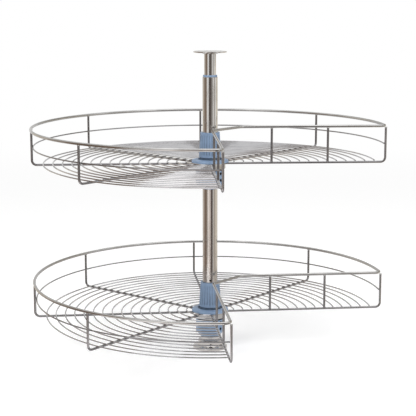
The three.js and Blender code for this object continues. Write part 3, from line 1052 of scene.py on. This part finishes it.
# ---------------------------------------------------------------- operators: baskets
class AddHubs(CarouselOperator):
    """Adds the blue hubs: a spigot in the hub ring, a flange and a tapering fluted sleeve"""

    bl_idname = "carousel.add_hubs"
    bl_label = "Hubs"

    # In millimetres, but for the steps and the shares of painted shade.
    SHOULDER_HEIGHT = 6.5  # of the flange's top above the hub ring
    FLANGE_EDGE = 4.4
    GROOVE_RADIUS, GROOVE_FLOOR = 25.9, 4  # of the groove between the flange and the sleeve
    NECK_RADIUS, NECK_HEIGHT = 22, 4.5
    FOOT_RADIUS, TOP_RADIUS = 23.5, 20.4  # of the sleeve
    SLEEVE_STEPS = 36
    FLUTE_RAMP = 5  # over which a flute runs in and out
    FLUTE_MARGIN = 2
    FLUTE_SHADE = 0.55  # share of painted shade in the bottom of a flute, near its foot
    NECK_SHADE = 0.6

    def hub(self, level):
        basket, pole = settings().basket, settings().pole
        node = f"{level}_hub"
        bore = pole.outer_radius / MM + RUN
        spigot = (basket.ring_radius - basket.ring_wall) / MM - FIT
        flange = basket.flange_radius / MM
        low, high = heights(node)
        seat = heights(f"{level}_hub_ring")[1] + FIT
        shoulder, groove_floor = seat + self.SHOULDER_HEIGHT, seat + self.GROOVE_FLOOR
        foot, top = shoulder + self.NECK_HEIGHT, high - 1

        def sleeve(height):
            slope = (self.TOP_RADIUS - self.FOOT_RADIUS) / (high - foot)
            return self.FOOT_RADIUS + slope * (height - foot)

        lower_part = rounded(
            [
                (bore, low, 0.5),
                (spigot, low, 0.8),
                (spigot, seat, 0),
                (flange, seat, 0.6),
                (flange, seat + self.FLANGE_EDGE, 2.8),
                (self.GROOVE_RADIUS + 3.4, shoulder, 1.4),
                (self.GROOVE_RADIUS, shoulder, 0.7),
                (self.GROOVE_RADIUS, groove_floor, 0.4),
                (self.NECK_RADIUS, groove_floor, 0.3),
                (self.NECK_RADIUS, foot - 0.8, 0.2),
                (self.FOOT_RADIUS - 0.4, foot - 0.5, 0.2),
            ]
        )
        upper_part = rounded(
            [(self.FOOT_RADIUS, foot, 0), (self.TOP_RADIUS, high, 0.8), (bore, high, 0.9), (bore, low, 0)]
        )[1:-1]
        rise = spread((foot, top), self.SLEEVE_STEPS)
        middle = [(sleeve(height) * MM, height * MM) for height in rise]

        def fluted(radius, height, angle):
            z = height / MM
            if z < foot or z > top or radius < (self.TOP_RADIUS - 0.6) * MM:
                return radius
            run = min(z - foot, top - z) - self.FLUTE_MARGIN
            share = max(0.0, min(1.0, run / self.FLUTE_RAMP))
            share = share * share * (3 - 2 * share)
            groove = 0.5 - 0.5 * math.cos(basket.flutes * angle)
            return radius - basket.flute_depth * share * groove**1.4

        def painted_shade_at(point):
            """Painted shade: the neck and its groove are dark, and the flutes' bottoms a little darker."""
            radius, height = math.hypot(point.x, point.y) / MM, point.z / MM
            if radius < self.TOP_RADIUS - 1.5:
                return 0.0
            if seat < height < foot - 0.4 and radius < self.GROOVE_RADIUS - 0.1:
                return self.NECK_SHADE
            if height < foot + self.FLUTE_MARGIN or height > top - self.FLUTE_MARGIN:
                return 0.0
            sunk = (sleeve(height) - radius) / (basket.flute_depth / MM)
            fade = 1 - 0.6 * (height - foot) / (top - foot)
            return self.FLUTE_SHADE * fade * max(0.0, min(1.0, sunk))

        sides = basket.flutes * FLUTE_SIDES
        shape = Shape().turned([*lower_part, *middle, *upper_part], sides, radius_at=fluted)
        mesh = shape.moved(basket_turn(level)).mesh()
        mark_painted_shade(mesh, painted_shade_at)
        dress(node, mesh, "blue")

    def execute(self, context):
        for level in LEVELS:
            self.hub(level)
        return {"FINISHED"}


class AddHubRings(CarouselOperator):
    """Adds the steel rings that hold the hubs, with the weld beads of the floor arms"""

    bl_idname = "carousel.add_hub_rings"
    bl_label = "Hub rings"

    BEAD = (1.9 * MM, 3.4 * MM, 2.9 * MM)  # half sizes of a weld bead: outwards, across, up

    def execute(self, context):
        basket = settings().basket
        outer, bore = basket.ring_radius / MM, (basket.ring_radius - basket.ring_wall) / MM
        for level in LEVELS:
            datum = edge_level(level) / MM
            low, high = (height - datum for height in heights(f"{level}_hub_ring"))
            profile = [(bore, low, 0.6), (outer, low, 0.9), (outer, high, 0.7), (bore, high, 0.5)]
            shape = Shape().turned(rounded(profile))
            for angle in arm_angles():
                shape.bead(outwards(angle) * (basket.ring_radius + 0.4 * MM), self.BEAD, angle)
            dress_basket(level, "hub_ring", shape, "rim")
        return {"FINISHED"}


class AddFloors(CarouselOperator):
    """Adds the floor grilles: round wires welded on the bent wires of the two straight edges"""

    bl_idname = "carousel.add_floors"
    bl_label = "Floor grilles"

    WANDER = 0.6 * MM  # how far a floor wire strays from its circle
    WAVE = 0.5 * MM  # and from its level
    TURN_ON = 0.45  # radians by which each wire's waves are turned on from the last one's
    STEP = 7 * MM  # between the points of a floor wire
    LEAST_STEPS = 48
    BEAD = (2.1 * MM, 1.9 * MM, 0.9 * MM)

    def edges(self, level):
        """The bent wires of the two straight edges, which carry the ends of the floor wires."""
        shape = Shape()
        for angle in (arm_angles()[0], arm_angles()[-1]):
            normal = outwards(angle + math.pi / 2)
            shape.wire(arm_line(angle, 0), settings().basket.arm_wire / 2, normal)
        add_piece(f"bright_{level}_edge_arms", basket_mesh(level, shape), "arm", f"{level}_floor_grille")

    def grille(self, level):
        """The round floor wires, which wander a little as hand-fed wires do."""
        basket = settings().basket
        shape = Shape()
        for i, radius in enumerate(floor_radii()):
            steps = max(self.LEAST_STEPS, round(basket.sweep * radius / self.STEP))
            line = []
            for point in round_stretch(Vector((0, 0, 0)), radius, 0, basket.sweep, steps):
                angle = math.atan2(point.y, point.x)
                out = 1 + self.WANDER * math.sin(3 * angle + self.TURN_ON * i) / radius
                lift = self.WAVE * math.sin(4 * angle + 2 * self.TURN_ON * i)
                line.append(point * out + UP * (floor_level() + lift))
            shape.wire(line, basket.floor_wire / 2, UP, FINE_WIRE_SIDES)
        dress_basket(level, "floor_grille", shape, "floor")

    def welds(self, level):
        shape = Shape()
        contact = UP * (floor_level() - settings().basket.floor_wire / 2)
        for angle in arm_angles():
            for radius in floor_radii():
                shape.bead(outwards(angle) * radius + contact, self.BEAD, angle)
        add_piece(f"bright_{level}_floor_welds", basket_mesh(level, shape), "floor", f"{level}_floor_grille")

    def execute(self, context):
        for level in LEVELS:
            self.edges(level)
            self.grille(level)
            self.welds(level)
        return {"FINISHED"}


class AddArms(CarouselOperator):
    """Adds the bent wires that run under the floor wires and up to the rim"""

    bl_idname = "carousel.add_arms"
    bl_label = "Floor arms"

    def execute(self, context):
        basket = settings().basket
        below = floor_level() - basket.floor_wire / 2 - WELD_GAP - basket.arm_wire / 2
        for level in LEVELS:
            for i, angle in enumerate(arm_angles()[1:-1], 1):
                normal = outwards(angle + math.pi / 2)
                shape = Shape().wire(arm_line(angle, below), basket.arm_wire / 2, normal)
                dress_basket(level, f"arm_{i}", shape, "post")
        return {"FINISHED"}


POST_WIRES = (4, 10)  # floor wires, from the pole outwards, at whose ends a post stands


def post_distances():
    return [floor_radii()[wire] for wire in POST_WIRES]


class AddPosts(CarouselOperator):
    """Adds the posts between the floor and the rim on the two straight edges"""

    bl_idname = "carousel.add_posts"
    bl_label = "Edge posts"

    BEAD = (3.3 * MM, 2.9 * MM, 1.1 * MM)

    def execute(self, context):
        basket = settings().basket
        low = basket.arm_wire / 2 - SINK
        high = basket.rim_height - basket.rim_wire / 2 + SINK
        places = [
            (angle, radius)
            for angle in (arm_angles()[0], arm_angles()[-1])
            for radius in post_distances()
        ]
        for level in LEVELS:
            for i, (angle, radius) in enumerate(places, 1):
                stand = outwards(angle) * radius
                normal = outwards(angle + math.pi / 2)
                line = [stand + UP * low, stand + UP * high]
                shape = Shape().wire(line, basket.arm_wire / 2, normal)
                shape.bead(stand + UP * (low + SINK), self.BEAD, angle)
                dress_basket(level, f"edge_post_{i}", shape, "post")
        return {"FINISHED"}


class AddMiddleWires(CarouselOperator):
    """Adds the wires half way up the baskets' walls, welded inside the posts"""

    bl_idname = "carousel.add_middle_wires"
    bl_label = "Middle wires"

    BEAD = (0.8 * MM, 1.9 * MM, 2.0 * MM)

    def execute(self, context):
        basket = settings().basket
        radius = basket.radius - basket.arm_wire / 2 - basket.middle_wire / 2 - WELD_GAP
        overhang = math.asin(basket.arm_wire / 2 / radius)
        level_line = UP * basket.middle_height
        for level in LEVELS:
            line = round_stretch(level_line, radius, -overhang, basket.sweep + overhang, ROUND_STEPS)
            shape = Shape().wire(line, basket.middle_wire / 2, UP, FINE_WIRE_SIDES)
            for angle in arm_angles():
                seat = outwards(angle) * (basket.radius - basket.arm_wire / 2) + level_line
                shape.bead(seat, self.BEAD, angle)
            dress_basket(level, "middle_wire", shape, "arm")
        return {"FINISHED"}


class AddRims(CarouselOperator):
    """Adds the rims, each one closed wire with a cut corner round the pole"""

    bl_idname = "carousel.add_rims"
    bl_label = "Rims"

    BEAD = (3.0 * MM, 3.0 * MM, 1.3 * MM)

    def execute(self, context):
        basket = settings().basket
        under = UP * (basket.rim_height - basket.rim_wire / 2)
        posts = [outwards(angle) * basket.radius for angle in arm_angles()]
        for angle in (arm_angles()[0], arm_angles()[-1]):
            posts += [outwards(angle) * radius for radius in post_distances()]
        for level in LEVELS:
            shape = Shape().wire(rim_line(), basket.rim_wire / 2, UP, RIM_SIDES, loop=True)
            for post in posts:
                shape.bead(post + under, self.BEAD)
            dress_basket(level, "rim", shape, "rim")
        return {"FINISHED"}


# ---------------------------------------------------------------- stage
FLOOR_REACH = 7.0
FLOOR_SIDES = 64
FADE_START, FADE_END = 1.6, 3.6  # the floor's shading runs out to plain white between these
WHITE = (1, 1, 1)
STAGE_CENTRE = Vector((0, 0, 0.35))


def seen_directly(n):
    """1 for rays from the camera, and for those that metal or glass sends on."""
    camera, gloss, glass = (
        n.node("ShaderNodeLightPath", output=f"Is {kind} Ray")
        for kind in ("Camera", "Glossy", "Transmission")
    )
    return camera.most(gloss).most(glass)


def floor_material():
    """Pale floor that takes the object's shadow and turns plain white further out."""
    stage = settings().stage
    n = new_material("studio_floor")
    place = n.node("ShaderNodeNewGeometry", output="Position")
    distance = n.node("ShaderNodeVectorMath", {"operation": "LENGTH"}, {0: place}, "Value")
    paper = n.noise(place, 300, 2)
    pale = n.mix(paper * 0.1, (0.84, 0.84, 0.84, 1), (0.80, 0.80, 0.80, 1))
    diffuse = n.node("ShaderNodeBsdfDiffuse", None, {"Color": pale})
    near = n.node("ShaderNodeAddShader", None, {0: diffuse, 1: n.glow(WHITE, stage.floor_glow)})
    fade = n.between(distance, FADE_START, FADE_END) * seen_directly(n)
    return n.output(n.node("ShaderNodeMixShader", None, {0: fade, 1: near, 2: n.glow(WHITE)}))


def set_world():
    """Even white light all round, and plain white where it is seen."""
    world = bpy.data.worlds.new("studio_world")
    bpy.context.scene.world = world
    n = Nodes(world)
    light, seen = (
        n.node("ShaderNodeBackground", None, {"Color": opaque(WHITE), "Strength": strength})
        for strength in (settings().stage.sky_light, 1.0)
    )
    shader = n.node("ShaderNodeMixShader", None, {0: seen_directly(n), 1: light, 2: seen})
    n.output(shader, "World")


def card_material(name, colour):
    n = new_material(name)
    return n.output(n.glow(colour))


CARD_DISTANCE = 4.2
CARD_STEPS_UP, CARD_STEPS_ROUND, FLOOR_CARD_STEPS = 8, 24, 36
NEAR_EDGE, NEXT_EDGE = 0.45, 0.65  # how far from the axis the floor's cards part
FLOOR_CARD_LIFT = 1 * MM
# Cards that only show as dark or light patches in the metal, as a photographer sets round bright
# work. Bearings are in degrees from the photographed side, to the right; then elevations and colour.
CARDS = (
    ("card_front", (-24, 17), (-6, 46), (0.14, 0.12, 0.11)),
    ("card_front_right", (17, 38), (-6, 30), (0.42, 0.40, 0.38)),
    ("card_right", (54, 73), (-6, 30), (0.50, 0.47, 0.43)),
    ("card_left", (-98, -55), (-6, 34), (0.30, 0.23, 0.18)),
    ("card_left_end", (-120, -98), (-6, 30), (0.55, 0.48, 0.42)),
    ("card_back_right", (94, 152), (-6, 4), (0.94, 0.87, 0.76)),
    ("card_high_right", (94, 152), (4, 40), (0.45, 0.42, 0.38)),
    ("card_back", (152, 212), (-6, 9), (0.82, 0.81, 0.80)),
    ("card_high_back", (152, 212), (9, 40), (0.72, 0.71, 0.70)),
    ("card_back_left", (212, 240), (-6, 20), (0.80, 0.73, 0.63)),
    ("card_back_high", (94, 240), (40, 66), (1.15, 1.15, 1.16)),
    ("card_above", (-180, 180), (66, 90), (2.0, 2.0, 2.03)),
    ("card_soft_left", (-50, -24), (44, 66), (2.2, 2.2, 2.2)),
    ("card_soft_front", (-24, 40), (46, 66), (1.7, 1.68, 1.7)),
    ("card_soft_right", (40, 72), (44, 66), (2.0, 2.0, 2.05)),
)
# Cards that lie just above the floor: bearings, inner and outer radius in metres, colour.
FLOOR_CARDS = (
    ("floor_card_front_near", (-55, 5), (NEAR_EDGE, NEXT_EDGE), (2.2, 2.12, 2.1)),
    ("floor_card_near", (0, 360), (0.0, NEAR_EDGE), (0.86, 0.84, 0.84)),
    ("floor_card_dark_right", (5, 38), (NEAR_EDGE, CARD_DISTANCE), (0.16, 0.13, 0.12)),
    ("floor_card_pale_right", (38, 54), (NEAR_EDGE, CARD_DISTANCE), (0.78, 0.75, 0.72)),
    ("floor_card_mid_right", (54, 73), (NEAR_EDGE, CARD_DISTANCE), (0.50, 0.44, 0.38)),
    ("floor_card_far_right", (73, 94), (NEAR_EDGE, CARD_DISTANCE), (0.75, 0.68, 0.60)),
    ("floor_card_back_right", (94, 152), (NEAR_EDGE, CARD_DISTANCE), (0.88, 0.82, 0.72)),
    ("floor_card_back", (152, 212), (NEAR_EDGE, CARD_DISTANCE), (0.76, 0.75, 0.75)),
    ("floor_card_back_left", (212, 240), (NEAR_EDGE, CARD_DISTANCE), (0.84, 0.77, 0.68)),
    ("floor_card_left_end", (-120, -98), (NEAR_EDGE, CARD_DISTANCE), (0.55, 0.47, 0.42)),
    ("floor_card_brown", (-98, -55), (NEAR_EDGE, CARD_DISTANCE), (0.29, 0.21, 0.165)),
    ("floor_card_mid_left", (-55, -39), (NEXT_EDGE, CARD_DISTANCE), (0.52, 0.46, 0.42)),
    ("floor_card_white", (-39, -24), (NEXT_EDGE, CARD_DISTANCE), (1.22, 1.13, 1.08)),
    ("floor_card_front", (-24, 5), (NEXT_EDGE, CARD_DISTANCE), (0.98, 0.88, 0.83)),
)


def add_stage_mesh(name, mesh, material):
    mesh.materials.append(material)
    made = bpy.data.objects.new(name, mesh)
    bpy.context.scene.collection.objects.link(made)
    return made


def towards(bearing):
    """Level direction of a bearing in degrees."""
    return Vector((math.sin(math.radians(bearing)), -math.cos(math.radians(bearing)), 0))


def add_card(name, rows, colour):
    """A card of rows of points, which only metal and other gloss shows."""
    across = len(rows[0])
    faces = [
        (i * across + j, i * across + j + 1, (i + 1) * across + j + 1, (i + 1) * across + j)
        for i in range(len(rows) - 1)
        for j in range(across - 1)
    ]
    mesh = bpy.data.meshes.new(name)
    mesh.from_pydata([point for row in rows for point in row], [], faces)
    card = add_stage_mesh(name, mesh, card_material(name, colour))
    for kind in ("camera", "diffuse", "transmission", "shadow", "volume_scatter"):
        setattr(card, f"visible_{kind}", False)


def add_standing_card(name, bearings, elevations, colour):
    rows = []
    for elevation in (math.radians(angle) for angle in spread(elevations, CARD_STEPS_UP)):
        rows.append(
            [
                STAGE_CENTRE
                + CARD_DISTANCE * (towards(bearing) * math.cos(elevation) + UP * math.sin(elevation))
                for bearing in spread(bearings, CARD_STEPS_ROUND)
            ]
        )
    add_card(name, rows, colour)


def add_floor_card(name, bearings, radii, colour):
    level = UP * (heights("foot")[0] * MM + FLOOR_CARD_LIFT)
    ways = [towards(bearing) for bearing in spread(bearings, FLOOR_CARD_STEPS)]
    add_card(name, [[level + way * radius for way in ways] for radius in radii], colour)


def add_lamp(name, place, size, power, colour):
    lamp = bpy.data.lights.new(name, "AREA")
    lamp.shape = "DISK"
    lamp.size = size
    lamp.energy = power
    lamp.color = colour
    made = bpy.data.objects.new(name, lamp)
    bpy.context.scene.collection.objects.link(made)
    made.location = place
    made.rotation_euler = (STAGE_CENTRE - Vector(place)).to_track_quat("-Z", "Y").to_euler()
    made.visible_glossy = False


class AddStage(CarouselOperator):
    """Adds the floor, the even light, two soft lamps, the reflection cards and the camera"""

    bl_idname = "carousel.add_stage"
    bl_label = "Stage"

    def floor(self):
        mesh = bpy.data.meshes.new("studio_floor")
        ring = [outwards(2 * math.pi * i / FLOOR_SIDES) * FLOOR_REACH for i in range(FLOOR_SIDES)]
        level = UP * heights("foot")[0] * MM
        mesh.from_pydata([point + level for point in ring], [], [tuple(range(FLOOR_SIDES))])
        add_stage_mesh("studio_floor", mesh, floor_material())

    def camera(self):
        stage = settings().stage
        data = bpy.data.cameras.new("camera")
        data.sensor_width = 36
        data.lens = stage.lens
        data.clip_end = 100
        camera = bpy.data.objects.new("camera", data)
        bpy.context.scene.collection.objects.link(camera)
        camera.location = stage.camera
        camera.rotation_euler = (math.pi / 2 - stage.tilt, 0, -stage.heading)
        bpy.context.scene.camera = camera

    def execute(self, context):
        stage = settings().stage
        self.floor()
        self.camera()
        set_world()
        add_lamp("key_lamp", (-1.6, -1.8, 2.4), 1.6, stage.key_power, (1.0, 0.99, 0.97))
        add_lamp("fill_lamp", (2.2, -1.2, 1.9), 1.8, stage.fill_power, (0.97, 0.985, 1.0))
        for card in CARDS:
            add_standing_card(*card)
        for card in FLOOR_CARDS:
            add_floor_card(*card)
        context.scene.view_settings.view_transform = "Standard"
        return {"FINISHED"}


# ---------------------------------------------------------------- panel and registration
OPERATORS = (
    AddFoot,
    AddTubes,
    AddGuides,
    AddTopPlate,
    AddCollars,
    AddWashers,
    AddHubs,
    AddHubRings,
    AddFloors,
    AddArms,
    AddPosts,
    AddMiddleWires,
    AddRims,
    AddStage,
)
GROUPS = (BasketSizes, PoleSizes, Finishes, StageSettings, CarouselSettings)


class CAROUSEL_PT_pieces(bpy.types.Panel):
    """Lists the fitting's pieces and settings"""

    bl_label = "Corner carousel"
    bl_space_type = "VIEW_3D"
    bl_region_type = "UI"
    bl_category = "Carousel"

    def draw(self, context):
        for operator in OPERATORS:
            self.layout.operator(operator.bl_idname)
        for group in ("basket", "pole", "finish", "stage"):
            box = self.layout.box()
            values = getattr(context.scene.carousel, group)
            for name in values.__annotations__:
                box.prop(values, name)


CLASSES = (*GROUPS, *OPERATORS, CAROUSEL_PT_pieces)


def register():
    for made in CLASSES:
        bpy.utils.register_class(made)
    bpy.types.Scene.carousel = PointerProperty(type=CarouselSettings)


def unregister():
    del bpy.types.Scene.carousel
    for made in reversed(CLASSES):
        bpy.utils.unregister_class(made)


def main():
    register()
    for operator in OPERATORS:
        group, name = operator.bl_idname.split(".")
        getattr(getattr(bpy.ops, group), name)()


if __name__ == "__main__":
    main()
